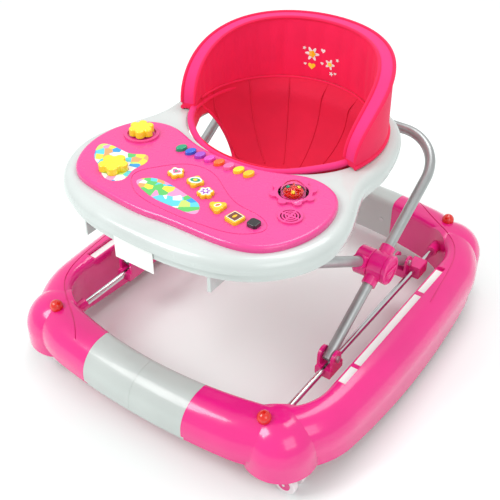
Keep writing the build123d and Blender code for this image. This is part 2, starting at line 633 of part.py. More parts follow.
def ledge_label(y_low, y_high):
    return box((LEDGE_X[0] + 8, LEDGE_X[1] - 1.5), (y_low, y_high), (LEDGE_Z, LEDGE_Z + 0.3))


# ---- build and write -------------------------------------------------------------------------------------
def build_base():
    """Ring base with its sleeves, domes, screws and labels."""
    screws = base_screws()
    right, solid_right = base_half()
    right -= screws
    save(right, "base_side_right")
    save(turned(right), "base_side_left")
    zone = box((0.15, SLEEVE_HALF - 0.15), (-RING_Y - 5, 0), (0, 200))
    sleeve = (rail(0, 5) - under_rocker() - rail(SLEEVE_WALL, 0)) & zone
    sleeve -= screws
    save([sleeve, mirrored(sleeve), turned(sleeve), turned(mirrored(sleeve))], "base_sleeves")
    domes = [corner_dome(solid_right, side) for side in BOTH]
    save(domes + [turned(dome) for dome in domes], "corner_domes")
    save(screws, "base_screws")
    labels = [ledge_label(*ends) for ends in ((-152, -118), (-110, 72), (82, 145))]
    save(labels + [turned(label) for label in labels], "ledge_labels")


def build_frame():
    """Rods, brackets, casters and the scissor frame."""
    rods = [rod(ROD_R, (side * ROD_X, -ROD_HALF, ROD_Z), (side * ROD_X, ROD_HALF, ROD_Z)) for side in BOTH]
    save(rods, "side_rods")
    bracket = front_bracket()
    save([bracket, mirrored(bracket)], "front_brackets")
    screw = pivot_screw(ROD_X, FRONT_PIVOT_Y, 13)
    save([screw, mirrored(screw)], "front_pivot_screws")
    save(u_tube(REAR_TUBE_X, REAR_BEND, leg_plane(FRONT_PIVOT_Y, 1)), "rear_frame_tube")
    save(u_tube(FRONT_TUBE_X, FRONT_BEND, leg_plane(REAR_PIVOT_Y, -1)), "front_frame_tube")
    save([hub_pin(), mirrored(hub_pin())], "hub_pins")
    screw = pivot_screw(FRONT_TUBE_X, REAR_PIVOT_Y, 12)
    save([screw, mirrored(screw)], "rear_pivot_screws")
    for name, piece in (("hub_outer", hub_outer()), ("hub_inner", hub_inner()), ("hub_knob", hub_knob()),
                        ("rear_bracket", rear_bracket())):
        save(piece, name + "_right")
        save(mirrored(piece), name + "_left")
    fork, wheels = caster_fork(), caster_wheels()
    for x_name, x_side in (("left", -1), ("right", 1)):
        for y_name, y_side in (("front", -1), ("rear", 1)):
            place = Pos(x_side * CASTER_X, y_side * CASTER_Y, 0)
            save(place * fork, f"caster_fork_{y_name}_{x_name}")
            save([place * piece for piece in wheels], f"caster_wheels_{y_name}_{x_name}")


def build_tray():
    """Plate, play panel and everything in it."""
    save(tray_shell(), "tray_shell")
    save(tray_panel(), "tray_panel")
    save(panel_print(), "panel_print")
    for i, place in enumerate(KEYS):
        save(key(place), f"key_{i + 1}")
    for i in range(len(BUTTONS)):
        save(tune_button(i), f"tune_button_{i + 1}")
    save(leaf_button(), "leaf_button")
    save(flower_knob(), "flower_knob")
    save(power_knob(), "power_knob")
    save(spinner_dome(), "spinner_dome")
    save(spinner_core(), "spinner_core")
    save(speaker_grille(), "speaker_grille")
    save(speaker_driver(), "speaker_driver")
    save(circuit_board(), "circuit_board")
    save(battery_box(), "battery_box")
    save(battery_door(), "battery_door")
    save(batteries(), "batteries")


def build_seat():
    save(backrest_pad(), "backrest_pad")
    save(backrest_board(), "backrest_board")
    save(seat_sling(), "seat_sling")
    save(hang_tag(), "hang_tag")


build_frame()
build_tray()
build_seat()
build_base()
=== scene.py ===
"""Looks of the baby walker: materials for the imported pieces, and the fabric, trims and prints on them."""
import json
import math

import bpy
from mathutils import Matrix, Vector
from mathutils.bvhtree import BVHTree


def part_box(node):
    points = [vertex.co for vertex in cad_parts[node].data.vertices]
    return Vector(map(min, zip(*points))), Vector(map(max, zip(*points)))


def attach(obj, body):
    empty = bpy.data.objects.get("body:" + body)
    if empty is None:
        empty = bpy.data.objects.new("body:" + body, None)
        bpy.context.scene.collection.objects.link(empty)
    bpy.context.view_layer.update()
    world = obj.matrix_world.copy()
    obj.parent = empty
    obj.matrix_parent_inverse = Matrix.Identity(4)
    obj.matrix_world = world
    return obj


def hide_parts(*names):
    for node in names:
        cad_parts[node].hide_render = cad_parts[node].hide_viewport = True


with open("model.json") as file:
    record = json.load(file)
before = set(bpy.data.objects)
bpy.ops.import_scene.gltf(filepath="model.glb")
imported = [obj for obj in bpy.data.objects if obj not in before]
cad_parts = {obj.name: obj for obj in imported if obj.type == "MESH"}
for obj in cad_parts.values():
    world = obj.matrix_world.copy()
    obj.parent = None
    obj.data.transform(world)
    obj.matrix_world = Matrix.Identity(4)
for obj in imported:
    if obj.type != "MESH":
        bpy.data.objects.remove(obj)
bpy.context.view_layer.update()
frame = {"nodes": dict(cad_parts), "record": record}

# ---- sizes, in metres ------------------------------------------------------------------------------------
MM = 0.001
PAD_LOW, PAD_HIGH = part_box("backrest_pad")
SLING_LOW, SLING_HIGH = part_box("seat_sling")
SEAT_Y = (SLING_LOW[1] + SLING_HIGH[1]) / 2          # middle of the seat opening
SEAT_A = (SLING_HIGH[0] - SLING_LOW[0]) / 2          # half width and half length of the bowl
SEAT_B = (SLING_HIGH[1] - SLING_LOW[1]) / 2
RIM_Z = SLING_HIGH[2]
BOWL_DEPTH = RIM_Z - SLING_LOW[2]
PAD_OUT = PAD_HIGH[0] - 2 * MM                       # radii of the fabric, a little inside the CAD pad
PAD_IN = PAD_OUT - 21 * MM
WING_RISE = 9 * MM                                   # height of the wings' front tips over the pad's bottom
PAD_BOTTOM = PAD_LOW[2] + 1.5 * MM
PAD_TOP = PAD_HIGH[2] - 2 * MM
PAD_FRONT_Y = PAD_LOW[1]
PAD_ARC_Y = PAD_FRONT_Y + 190 * MM                   # the top edge rises in one arc up to here
SEAM_ANGLES = (-84, -56, -28, 0, 28, 56, 84)         # sewn channels of the seat, degrees from the rear
LINING_A, LINING_B = SEAT_A - 5 * MM, SEAT_B - 4 * MM
LINING_THICK = 2.5 * MM
LEG_HOLE, LEG_HOLE_AT = (56 * MM, 30 * MM), (98 * MM, 6 * MM)     # half axes of the oval, and its middle
LEG_HOLE_TOP = 312 * MM
REAR_HALF, REAR_BLEND = 112, 16                      # degrees from the rear of the raised stretch, its fade
FRONT_HEM_FROM, FRONT_HEM_SPAN = 100, 160            # degrees from the rear
FRONT_HEM_R, LEG_HEM_R = 5 * MM, 2.6 * MM
CHANNEL_SEAM_R, LOWER_SEAM_R = 0.9 * MM, 1.6 * MM
LOWER_SEAM_HALF = 98                                 # degrees each way from the rear
HEM_STEPS, LEG_HEM_STEPS, CHANNEL_STEPS, LOWER_SEAM_STEPS = 96, 72, 40, 120
BUTTON_STEP = 20                                     # degrees each tune button is turned past the last
CLOTH_FRAMES = 20
PAD_PRESSURE, PAD_PUFF = 5, 9 * MM                   # filling pressure, and the most a vertex may move
SEAT_PRESSURE, SEAT_PUFF = -1.2, 6 * MM
BEAD_R, BEAD_ORBIT = 2.6 * MM, 8 * MM                # beads in the spinner
WHEEL_DISC_R = 9.5 * MM


# ---- camera, light and floor -----------------------------------------------------------------------------
LENS_MM = 64.2
CAMERA_PLACE = (0.6349, -0.9152, 0.9891)
CAMERA_LOOK = (-0.4652, 0.6427, -0.6088)
CAMERA_ROLL = -0.3                                   # degrees
WORLD_STRENGTH = 0.76
LIGHTS = (("key", (-1.1, -1.5, 2.1), 1.1, 32),       # name, place, size, watts
          ("fill", (1.8, -0.9, 1.5), 1.3, 11),
          ("top", (0.1, 0.9, 2.3), 1.2, 18))
LIGHT_TARGET = (0, 0, 0.2)
FLOOR_SIZE, FLOOR_Z = 12, -0.0005                    # just under the wheels


def add_camera():
    data = bpy.data.cameras.new("camera")
    data.lens = LENS_MM
    camera = bpy.data.objects.new("camera", data)
    bpy.context.collection.objects.link(camera)
    look = Vector(CAMERA_LOOK).normalized()
    right = look.cross(Vector((0, 0, 1))).normalized()
    up = right.cross(look)
    roll = Matrix.Rotation(math.radians(CAMERA_ROLL), 3, -look)
    axes = Matrix((roll @ right, roll @ up, -look)).transposed()
    camera.matrix_world = Matrix.Translation(CAMERA_PLACE) @ axes.to_4x4()
    bpy.context.scene.camera = camera
    bpy.context.scene.view_settings.view_transform = "Standard"


def area_light(name, place, size, watts):
    data = bpy.data.lights.new(name, "AREA")
    data.size = size
    data.energy = watts
    lamp = bpy.data.objects.new(name, data)
    bpy.context.collection.objects.link(lamp)
    lamp.location = place
    lamp.rotation_euler = (Vector(LIGHT_TARGET) - Vector(place)).to_track_quat("-Z", "Y").to_euler()


def add_studio():
    world = bpy.data.worlds.new("studio")
    world.use_nodes = True
    world.node_tree.nodes["Background"].inputs["Color"].default_value = (1, 1, 1, 1)
    world.node_tree.nodes["Background"].inputs["Strength"].default_value = WORLD_STRENGTH
    bpy.context.scene.world = world
    for light in LIGHTS:
        area_light(*light)
    bpy.ops.mesh.primitive_plane_add(size=FLOOR_SIZE, location=(0, 0, FLOOR_Z))
    floor = bpy.context.object
    floor.name = "studio_floor"
    material = bpy.data.materials.new("floor_white")
    material.use_nodes = True
    shader = material.node_tree.nodes["Principled BSDF"]
    shader.inputs["Base Color"].default_value = (0.90, 0.965, 0.945, 1)
    shader.inputs["Roughness"].default_value = 0.55
    floor.data.materials.append(material)


# ---- materials -------------------------------------------------------------------------------------------
class Paint:
    """A Principled material with its node tree at hand."""

    def __init__(self, name, roughness=0.4, **sockets):
        self.material = bpy.data.materials.new(name)
        self.material.use_nodes = True
        self.nodes = self.material.node_tree.nodes
        self.links = self.material.node_tree.links
        self.shader = self.nodes["Principled BSDF"]
        self.shader.inputs["Roughness"].default_value = roughness
        for socket, value in sockets.items():
            self.shader.inputs[socket.replace("_", " ")].default_value = value
        self.place = self.nodes.new("ShaderNodeTexCoord").outputs["Object"]

    def noise(self, scale, detail=3.0):
        node = self.nodes.new("ShaderNodeTexNoise")
        node.inputs["Scale"].default_value = scale
        node.inputs["Detail"].default_value = detail
        self.links.new(self.place, node.inputs["Vector"])
        return node.outputs["Fac"]

    def wave(self, direction, scale):
        node = self.nodes.new("ShaderNodeTexWave")
        node.bands_direction = direction
        node.inputs["Scale"].default_value = scale
        node.inputs["Distortion"].default_value = 0.6
        self.links.new(self.place, node.inputs["Vector"])
        return node.outputs["Fac"]

    def cells(self, scale, feature="F1", output="Color"):
        node = self.nodes.new("ShaderNodeTexVoronoi")
        node.feature = feature
        node.inputs["Scale"].default_value = scale
        self.links.new(self.place, node.inputs["Vector"])
        return node.outputs[output]

    def ramp(self, factor, stops, constant=False):
        node = self.nodes.new("ShaderNodeValToRGB")
        ramp = node.color_ramp
        ramp.interpolation = "CONSTANT" if constant else "LINEAR"
        while len(ramp.elements) < len(stops):
            ramp.elements.new(0.5)
        for element, (position, colour) in zip(ramp.elements, stops):
            element.position = position
            element.color = (*colour, 1)
        self.links.new(factor, node.inputs["Fac"])
        return node.outputs["Color"]

    def mottle(self, colour, spread=0.05, scale=18):
        """Base colour with a slow, slight variation."""
        dark = tuple(c * (1 - spread) for c in colour)
        light = tuple(min(1, c * (1 + spread)) for c in colour)
        mixed = self.ramp(self.noise(scale), [(0.3, dark), (0.7, light)])
        self.links.new(mixed, self.shader.inputs["Base Color"])
        return self

    def rough_patches(self, low, high, scale):
        node = self.nodes.new("ShaderNodeMapRange")
        node.inputs["To Min"].default_value = low
        node.inputs["To Max"].default_value = high
        self.links.new(self.noise(scale, 6), node.inputs["Value"])
        self.links.new(node.outputs["Result"], self.shader.inputs["Roughness"])
        return self

    def bump(self, height, strength, distance):
        node = self.nodes.new("ShaderNodeBump")
        node.inputs["Strength"].default_value = strength
        node.inputs["Distance"].default_value = distance
        self.links.new(height, node.inputs["Height"])
        previous = self.shader.inputs["Normal"].links
        if previous:
            self.links.new(previous[0].from_socket, node.inputs["Normal"])
        self.links.new(node.outputs["Normal"], self.shader.inputs["Normal"])
        return self


def moulded(name, colour, roughness=0.22, coat=0.35, grain=0.04):
    """Glossy injection-moulded plastic with faint flow marks and micro texture."""
    paint = Paint(name, roughness, Coat_Weight=coat, Coat_Roughness=0.06)
    paint.mottle(colour, 0.04, 14)
    paint.rough_patches(roughness * 0.8, roughness * 1.3, 60)
    paint.bump(paint.noise(35, 2), grain, 0.0006)
    paint.bump(paint.noise(900, 2), grain, 0.0001)
    return paint.material


def painted_tube(name, colour):
    paint = Paint(name, 0.34, Metallic=0.6)
    paint.mottle(colour, 0.08, 40)
    paint.rough_patches(0.26, 0.42, 220)
    paint.bump(paint.noise(1400, 2), 0.12, 0.00015)
    return paint.material


def plated(name, colour, roughness):
    paint = Paint(name, roughness, Metallic=1.0)
    paint.mottle(colour, 0.04, 60)
    paint.rough_patches(roughness * 0.7, roughness * 1.5, 300)
    paint.bump(paint.noise(700, 2), 0.05, 0.0001)
    return paint.material


def woven(name, colour):
    """Plain woven polyester: crossing threads, slubs and a soft sheen."""
    paint = Paint(name, 0.82, Sheen_Weight=0.18, Sheen_Roughness=0.45)
    paint.shader.inputs["Sheen Tint"].default_value = (1, 0.45, 0.6, 1)
    paint.mottle(colour, 0.05, 22)
    paint.bump(paint.noise(28, 3), 0.14, 0.003)
    for direction in ("X", "Y", "Z"):
        paint.bump(paint.wave(direction, 700), 0.05, 0.0002)
    paint.bump(paint.noise(1800, 3), 0.15, 0.0002)
    return paint.material


def clear(name, colour, roughness=0.02):
    paint = Paint(name, roughness, Transmission_Weight=1.0, IOR=1.18)
    paint.mottle(colour, 0.02, 30)
    paint.bump(paint.noise(60, 2), 0.03, 0.0004)
    return paint.material


def faceted_red(name, colour):
    """Translucent red plastic with a cut-glass pattern."""
    paint = Paint(name, 0.12, Transmission_Weight=0.12, IOR=1.5, Coat_Weight=0.6)
    paint.mottle(colour, 0.12, 240)
    paint.bump(paint.cells(260, "DISTANCE_TO_EDGE", "Distance"), 0.35, 0.0008)
    return paint.material


BRIGHT = [(0.02, 0.32, 0.72), (0.86, 0.86, 0.84), (0.10, 0.55, 0.12), (0.95, 0.72, 0.05),
          (0.92, 0.36, 0.12), (0.80, 0.82, 0.80), (0.90, 0.30, 0.55), (0.10, 0.62, 0.70),
          (0.55, 0.80, 0.15)]


def printed(name, scale):
    """Glossy printed film: a generic patchwork of bright shapes, with a bump along their edges."""
    paint = Paint(name, 0.2, Coat_Weight=0.5, Coat_Roughness=0.08)
    split = paint.nodes.new("ShaderNodeSeparateColor")
    paint.links.new(paint.cells(scale), split.inputs["Color"])
    stops = [(i / len(BRIGHT), colour) for i, colour in enumerate(BRIGHT)]
    colour = paint.ramp(split.outputs["Red"], stops, constant=True)
    paint.links.new(colour, paint.shader.inputs["Base Color"])
    paint.bump(paint.cells(scale, "DISTANCE_TO_EDGE", "Distance"), 0.06, 0.0002)
    return paint.material


def make_materials():
    pink, panel = (0.79, 0.012, 0.225), (0.78, 0.05, 0.27)
    paints = {
        "pink": moulded("pink_plastic", pink, 0.2, 0.5),
        "panel": moulded("panel_pink", panel, 0.26, 0.4),
        "silver": moulded("silver_plastic", (0.50, 0.54, 0.52), 0.3, 0.3, 0.06),
        "white": moulded("tray_white", (0.56, 0.605, 0.59), 0.24, 0.4),
        "red": faceted_red("clear_red", (0.80, 0.012, 0.004)),
        "chrome": plated("chrome", (0.72, 0.72, 0.74), 0.12),
        "tube": painted_tube("grey_paint", (0.41, 0.43, 0.43)),
        "steel": plated("steel", (0.58, 0.58, 0.58), 0.3),
        "label": moulded("label_white", (0.86, 0.87, 0.85), 0.4, 0.1),
        "print": printed("print_sheet", 85),
        "wheel": moulded("wheel_clear", (0.82, 0.74, 0.77), 0.3, 0.3),
        "yellow": moulded("yellow_plastic", (0.93, 0.72, 0.02), 0.22, 0.45),
        "amber": moulded("amber_plastic", (0.90, 0.52, 0.006), 0.22, 0.4),
        "black": moulded("black_plastic", (0.012, 0.012, 0.014), 0.25, 0.4),
        "brown": moulded("brown_print", (0.16, 0.045, 0.02), 0.3, 0.4),
        "dark": moulded("dark_plastic", (0.05, 0.05, 0.05), 0.5, 0.1),
        "board": moulded("board_green", (0.02, 0.18, 0.06), 0.35, 0.4),
        "cell": painted_tube("cell", (0.08, 0.09, 0.12)),
        "window": clear("window_clear", (1.0, 0.98, 0.98)),
        "fabric": woven("fabric_pink", (0.83, 0.003, 0.076)),
        # lining pink darker than the backrest fabric: painted shade of the deep seat bowl
        "lining": woven("fabric_lining_painted_shade", (0.69, 0.002, 0.048)),
        "border": woven("fabric_border", (0.80, 0.022, 0.18)),
        "stiffener": moulded("hardboard", (0.28, 0.18, 0.10), 0.7, 0.0, 0.3),
    }
    keys = {"key_green": (0.0, 0.33, 0.16), "key_blue": (0.02, 0.12, 0.65),
            "key_purple": (0.36, 0.06, 0.55), "key_magenta": (0.76, 0.06, 0.48),
            "key_orange": (0.92, 0.14, 0.01), "key_pink": (0.88, 0.14, 0.38)}
    for name, colour in keys.items():
        paints[name] = moulded(name, colour, 0.22, 0.45)
    return paints


PAINTS = make_materials()
# paint of each record slot; a slot that isn't named here has a paint of its own name
SLOT_PAINT = {"pink_plastic": "pink", "panel_pink": "panel", "silver_plastic": "silver",
              "tray_white": "white", "clear_red": "red", "grey_paint": "tube",
              "label_white": "label", "print_sheet": "print", "wheel_clear": "wheel",
              "yellow_plastic": "yellow", "amber_plastic": "amber",
              "black_plastic": "black", "dark_plastic": "dark", "board_green": "board",
              "window_clear": "window", "fabric_pink": "fabric", "hardboard": "stiffener"}


def paint_cad_nodes():
    """Every CAD node takes the procedural material of its record slot."""
    for row in frame["record"]["subparts"]:
        node = frame["nodes"][row["node"]]
        paint = PAINTS[SLOT_PAINT.get(row["material_slot"], row["material_slot"])]
        node.data.materials.clear()
        node.data.materials.append(paint)


# ---- building helpers ------------------------------------------------------------------------------------
def new_piece(name, verts, faces, paint, body, smooth=True):
    mesh = bpy.data.meshes.new(name)
    mesh.from_pydata([tuple(v) for v in verts], [], faces)
    mesh.validate()
    mesh.materials.append(PAINTS[paint])
    for polygon in mesh.polygons:
        polygon.use_smooth = smooth
    piece = bpy.data.objects.new(name, mesh)
    bpy.context.collection.objects.link(piece)
    if body:
        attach(piece, body)
    return piece


def tube_mesh(points, radius, closed=False, sides=10):
    """Verts and faces of a round tube along points, capped at its ends if it is open."""
    points = [Vector(p) for p in points]
    count = len(points)
    verts, faces = [], []
    normal = None
    for i, point in enumerate(points):
        ahead = points[(i + 1) % count] if closed or i < count - 1 else point
        behind = points[i - 1] if closed or i > 0 else point
        tangent = (ahead - behind).normalized()
        if normal is None:
            normal = tangent.orthogonal().normalized()
        normal = (normal - tangent * normal.dot(tangent)).normalized()
        side = tangent.cross(normal)
        for k in range(sides):
            angle = 2 * math.pi * k / sides
            verts.append(point + radius * (math.cos(angle) * normal + math.sin(angle) * side))
    for i in range(count if closed else count - 1):
        for k in range(sides):
            a, b = i * sides + k, i * sides + (k + 1) % sides
            c = ((i + 1) % count) * sides
            faces.append((a, b, c + (k + 1) % sides, c + k))
    if not closed:
        faces.append(tuple(range(sides))[::-1])
        faces.append(tuple(range((count - 1) * sides, count * sides)))
    return verts, faces


def subdivide(piece, levels):
    modifier = piece.modifiers.new("smooth", "SUBSURF")
    modifier.levels = levels
    modifier.render_levels = levels


def run_cloth(piece, pinned, pressure, cap):
    """Inflates a mesh whose pinned vertices stay put; no vertex ends more than cap from where it began."""
    start = [v.co.copy() for v in piece.data.vertices]
    group = piece.vertex_groups.new(name="pins")
    group.add(sorted(pinned), 1.0, "REPLACE")
    modifier = piece.modifiers.new("cloth", "CLOTH")
    settings = modifier.settings
    settings.quality = 6
    settings.mass = 0.3
    settings.tension_stiffness = 12
    settings.compression_stiffness = 8
    settings.shear_stiffness = 5
    settings.bending_stiffness = 0.4
    settings.vertex_group_mass = "pins"
    settings.use_pressure = True
    settings.uniform_pressure_force = pressure
    settings.effector_weights.gravity = 0
    modifier.collision_settings.use_collision = False
    scene = bpy.context.scene
    for number in range(1, CLOTH_FRAMES + 1):
        scene.frame_set(number)
    graph = bpy.context.evaluated_depsgraph_get()
    shape = piece.evaluated_get(graph).to_mesh()
    moved = [v.co.copy() for v in shape.vertices]
    piece.evaluated_get(graph).to_mesh_clear()
    piece.modifiers.clear()
    scene.frame_set(1)
    for vertex, before, after in zip(piece.data.vertices, start, moved):
        step = after - before
        if step.length > cap:
            step *= cap / step.length
        vertex.co = before + step
    piece.data.update()


# ---- backrest --------------------------------------------------------------------------------------------
COLUMNS, ROWS, BAND = 132, 22, 5                     # cells round the pad, up a panel, across the border
PIPING_R, BOTTOM_PIPING_R = 2.6 * MM, 3.4 * MM


def seat_point(angle, radius, z):
    """Point round the middle of the seat; the angle is measured from the rear, towards +X."""
    return Vector((radius * math.sin(angle), SEAT_Y + radius * math.cos(angle), z))


def back_angle(column):
    """Angle of a mesh column of the backrest; columns crowd towards the wing tips."""
    middle = (PAD_IN + PAD_OUT) / 2
    limit = math.acos((PAD_FRONT_Y - SEAT_Y) / middle)
    return limit * math.sin(math.pi * (column / COLUMNS - 0.5))


def back_height(angle):
    """Height of the backrest's top edge."""
    y = SEAT_Y + (PAD_IN + PAD_OUT) / 2 * math.cos(angle)
    reach = min(1, max(0, (PAD_ARC_Y - y) / (PAD_ARC_Y - PAD_FRONT_Y)))
    start = PAD_BOTTOM + WING_RISE
    return start + (PAD_TOP - start) * math.sqrt(1 - reach ** 2)


def backrest_ring(column):
    """Closed section of the pad: inner panel up, border across the top, outer panel down, bottom back."""
    angle = back_angle(column)
    top = back_height(angle)
    ring = []
    for i in range(ROWS + 1):
        ring.append(seat_point(angle, PAD_IN, PAD_BOTTOM + (top - PAD_BOTTOM) * i / ROWS))
    for i in range(1, BAND):
        ring.append(seat_point(angle, PAD_IN + (PAD_OUT - PAD_IN) * i / BAND, top))
    for i in range(ROWS + 1):
        ring.append(seat_point(angle, PAD_OUT, top - (top - PAD_BOTTOM) * i / ROWS))
    for i in range(1, BAND):
        ring.append(seat_point(angle, PAD_OUT - (PAD_OUT - PAD_IN) * i / BAND, PAD_BOTTOM))
    return ring


def add_backrest():
    """Padded backrest: inner and outer panels and a border between two piped edges."""
    rings = [backrest_ring(column) for column in range(COLUMNS + 1)]
    size = len(rings[0])
    verts = [v for ring in rings for v in ring]
    faces = []
    for i in range(COLUMNS):
        for k in range(size):
            a, b = i * size + k, i * size + (k + 1) % size
            faces.append((a, a + size, b + size, b))
    faces.append(tuple(range(size)))
    faces.append(tuple(range(COLUMNS * size, (COLUMNS + 1) * size))[::-1])
    pad = new_piece("backrest_padding", verts, faces, "fabric", "tray")
    edges = (0, ROWS, ROWS + BAND, 2 * ROWS + BAND)
    pinned = {i * size + k for i in range(COLUMNS + 1) for k in edges}
    pinned |= set(range(2 * size)) | set(range((COLUMNS - 1) * size, (COLUMNS + 1) * size))
    run_cloth(pad, pinned, PAD_PRESSURE, PAD_PUFF)
    pad.data.materials.append(PAINTS["border"])
    for polygon in pad.data.polygons:
        inner = [v % size for v in polygon.vertices]
        if len(inner) == 4 and min(inner) >= ROWS and max(inner) <= ROWS + BAND:
            polygon.material_index = 1
    subdivide(pad, 1)
    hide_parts("backrest_pad")
    pipings = (("piping_inner", ROWS, PIPING_R), ("piping_outer", ROWS + BAND, PIPING_R),
               ("piping_bottom_inner", 0, BOTTOM_PIPING_R),
               ("piping_bottom_outer", 2 * ROWS + BAND, BOTTOM_PIPING_R))
    for name, index, radius in pipings:
        line = [rings[i][index] for i in range(COLUMNS + 1)]
        lift = Vector((0, 0, 1.2 * MM if index not in (ROWS, ROWS + BAND) else 0))
        verts, faces = tube_mesh([p + lift for p in line], radius)
        piping = new_piece("backrest_" + name, verts, faces, "fabric", "tray")
        subdivide(piping, 1)
    return pad


# ---- seat ------------------------------------------------------------------------------------------------
SEAT_COLUMNS, SEAT_ROWS = 168, 34                    # cells round the bowl, and down to its middle


def ellipse_radius(angle, a, b):
    return 1 / math.hypot(math.sin(angle) / a, math.cos(angle) / b)


def smooth_step(value):
    value = min(1, max(0, value))
    return value * value * (3 - 2 * value)


def rear_share(angle):
    """1 under the backrest, 0 along the front of the opening."""
    return smooth_step((math.radians(REAR_HALF) - abs(angle)) / math.radians(REAR_BLEND))


def seat_surface(angle, drop):
    """Point of the lining: drop 0 is its top edge, 1 the middle of the bowl."""
    tau = drop * math.pi / 2
    radius = ellipse_radius(angle, LINING_A, LINING_B) * math.cos(tau)
    z = RIM_Z - BOWL_DEPTH * math.sin(tau) + 3 * MM * (1 - drop)
    share = rear_share(angle)
    radius += share * (1 - smooth_step(drop / 0.09)) * (PAD_IN - 1.5 * MM - radius)
    z += share * (1 - smooth_step(drop / 0.2)) * 14 * MM
    return seat_point(angle, radius, z)


def hole_axes(side):
    """Directions along and across a leg hole's oval, seen from above."""
    return Vector((side * 0.5, 0.866)), Vector((side * 0.866, -0.5))


def hole_value(point):
    """Below zero inside a leg hole's outline, seen from above."""
    side = 1 if point.x > 0 else -1
    along, across = hole_axes(side)
    offset = Vector((point.x - side * LEG_HOLE_AT[0], point.y - LEG_HOLE_AT[1]))
    return math.hypot(offset.dot(along) / LEG_HOLE[0], offset.dot(across) / LEG_HOLE[1]) - 1


def seat_vertex(row, column):
    """Number of a lining vertex; the columns close in a ring."""
    return row * SEAT_COLUMNS + column % SEAT_COLUMNS


def add_seat():
    """Fabric bowl with sewn channels, a turned-over front edge and two hemmed leg holes."""
    verts, faces, pinned = [], [], set()
    for row in range(SEAT_ROWS + 1):
        drop = (row / SEAT_ROWS) ** 0.9 * 0.985
        for column in range(SEAT_COLUMNS):
            angle = 2 * math.pi * column / SEAT_COLUMNS - math.pi
            verts.append(seat_surface(angle, drop))
    inside = [hole_value(v) < 0 and v.z < LEG_HOLE_TOP for v in verts]
    for row in range(SEAT_ROWS):
        for column in range(SEAT_COLUMNS):
            quad = (seat_vertex(row, column), seat_vertex(row + 1, column),
                    seat_vertex(row + 1, column + 1), seat_vertex(row, column + 1))
            if not all(inside[v] for v in quad):
                faces.append(quad)
    faces.append(tuple(seat_vertex(SEAT_ROWS, c) for c in range(SEAT_COLUMNS)))
    kept = {v for face in faces for v in face}
    for v in kept:
        if inside[v]:
            side = 1 if verts[v].x > 0 else -1
            centre = Vector((side * LEG_HOLE_AT[0], LEG_HOLE_AT[1]))
            flat = Vector(verts[v].xy) - centre
            flat /= max(0.05, 1 + hole_value(verts[v]))
            verts[v] = bowl_point(centre + flat)
            pinned.add(v)
    order = sorted(kept)
    renumber = {old: new for new, old in enumerate(order)}
    seams = {round((math.radians(a) + math.pi) * SEAT_COLUMNS / (2 * math.pi)) % SEAT_COLUMNS
             for a in SEAM_ANGLES}
    for row in range(SEAT_ROWS + 1):
        for column in range(SEAT_COLUMNS):
            v = seat_vertex(row, column)
            if row < 2 or row > SEAT_ROWS - 2 or (column in seams and row < SEAT_ROWS * 0.75):
                pinned.add(v)
    faces = [tuple(renumber[v] for v in face) for face in faces]
    # the lining takes the darker pink, which is painted shade of the bowl
    seat = new_piece("seat_lining", [verts[v] for v in order], faces, "lining", "tray")
    run_cloth(seat, {renumber[v] for v in pinned if v in renumber}, SEAT_PRESSURE, SEAT_PUFF)
    thick = seat.modifiers.new("thickness", "SOLIDIFY")
    thick.thickness = LINING_THICK
    thick.offset = -1
    subdivide(seat, 1)
    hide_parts("seat_sling")
    add_seat_trims()
    return seat


def bowl_point(flat):
    """Point of the bowl's own surface above or below a point in plan."""
    share = (flat.x / LINING_A) ** 2 + ((flat.y - SEAT_Y) / LINING_B) ** 2
    return Vector((flat.x, flat.y, RIM_Z + MM - BOWL_DEPTH * math.sqrt(max(0.0, 1 - share))))


def add_seat_trims():
    """Front hem, leg hole hems and the raised seam lines of the channels."""
    front = []
    for i in range(HEM_STEPS + 1):
        angle = math.radians(FRONT_HEM_FROM + FRONT_HEM_SPAN * i / HEM_STEPS)
        radius = ellipse_radius(angle, SEAT_A - 2 * MM, SEAT_B + 1 * MM)
        sunk = smooth_step((math.radians(62) - abs(angle - math.pi)) / math.radians(40))
        front.append(seat_point(angle, radius, RIM_Z + (4.5 - 8 * sunk) * MM))
    verts, faces = tube_mesh(front, FRONT_HEM_R, sides=14)
    subdivide(new_piece("seat_front_hem", verts, faces, "border", "tray"), 1)
    for side, name in ((-1, "left"), (1, "right")):
        along, across = hole_axes(side)
        line = []
        for i in range(LEG_HEM_STEPS):
            turn = 2 * math.pi * i / LEG_HEM_STEPS
            flat = Vector((side * LEG_HOLE_AT[0], LEG_HOLE_AT[1]))
            flat += LEG_HOLE[0] * math.cos(turn) * along
            flat += LEG_HOLE[1] * math.sin(turn) * across
            line.append(bowl_point(flat))
        verts, faces = tube_mesh(line, LEG_HEM_R, closed=True)
        subdivide(new_piece(f"leg_hole_hem_{name}", verts, faces, "fabric", "tray"), 1)
    for number, degrees in enumerate(SEAM_ANGLES):
        angle = math.radians(degrees)
        line = [seat_surface(angle, 0.015 + 0.66 * i / CHANNEL_STEPS) for i in range(CHANNEL_STEPS + 1)]
        line = [p for p in line if not (hole_value(p) < 0.08 and p.z < LEG_HOLE_TOP + 5 * MM)]
        inward = Vector((-math.sin(angle), -math.cos(angle), 0.3)).normalized() * 0.6 * MM
        verts, faces = tube_mesh([p + inward for p in line], CHANNEL_SEAM_R, sides=6)
        # seams share the lining's darker pink, painted shade of the bowl
        new_piece(f"channel_seam_{number + 1}", verts, faces, "lining", "tray")
    line = []
    for i in range(LOWER_SEAM_STEPS + 1):
        angle = math.radians(-LOWER_SEAM_HALF + 2 * LOWER_SEAM_HALF * i / LOWER_SEAM_STEPS)
        line.append(seat_surface(angle, 0.012))
    inward = [Vector((0, SEAT_Y, p.z)) - Vector((p.x, p.y, p.z)) for p in line]
    line = [p + d.normalized() * 0.8 * MM for p, d in zip(line, inward)]
    verts, faces = tube_mesh(line, LOWER_SEAM_R, sides=8)
    new_piece("backrest_lower_seam", verts, faces, "fabric", "tray")


